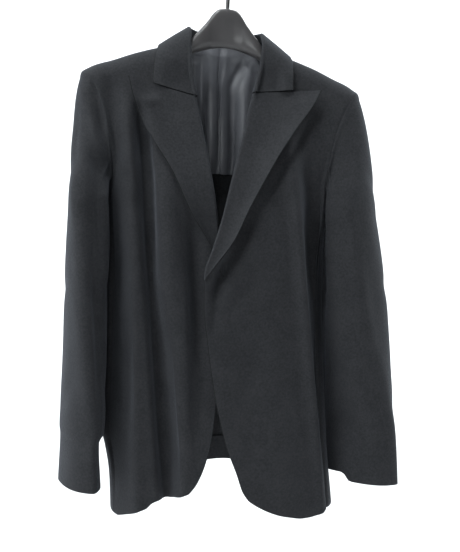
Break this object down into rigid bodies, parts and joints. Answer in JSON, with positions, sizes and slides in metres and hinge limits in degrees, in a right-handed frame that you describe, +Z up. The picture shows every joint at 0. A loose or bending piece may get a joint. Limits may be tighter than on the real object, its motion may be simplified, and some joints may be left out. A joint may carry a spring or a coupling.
{
  "type": "jacket on a hanger",
  "caption": "Man's long-sleeved jacket with wide peak lapels and rounded fronts, lapped left over right, hanging on a broad moulded hanger with a wire hook.",
  "frame": {"origin": "inside the top of the hook's bow, where it bears on a rail", "axes": "+Z up; the jacket faces -Y; the wearer's left is +X"},
  "size_m": [0.5146, 0.162, 0.834],
  "materials": {
    "wool": "fine matte twill with a faint sheen",
    "satin": "smooth satin lining",
    "plastic": "satin moulded plastic",
    "steel": "dull wire"
  },
  "bodies": {
    "root": {"front_left": "wool", "front_low_left": "wool", "front_right": "wool", "front_low_right": "wool", "side_left": "wool", "side_right": "wool", "back_left": "wool", "back_right": "wool", "sleeve_upper_left": "wool", "sleeve_upper_low_left": "wool", "sleeve_upper_right": "wool", "sleeve_upper_low_right": "wool", "sleeve_under_left": "wool", "sleeve_under_right": "wool", "lapel_left": "wool", "lapel_right": "wool", "collar": "wool", "hem_turn_up_left": "wool", "hem_turn_up_right": "wool", "lining_back_left": "satin", "lining_back_right": "satin", "hanger_arms": "plastic", "hanger_hook": "steel"}
  },
  "joints": []
}
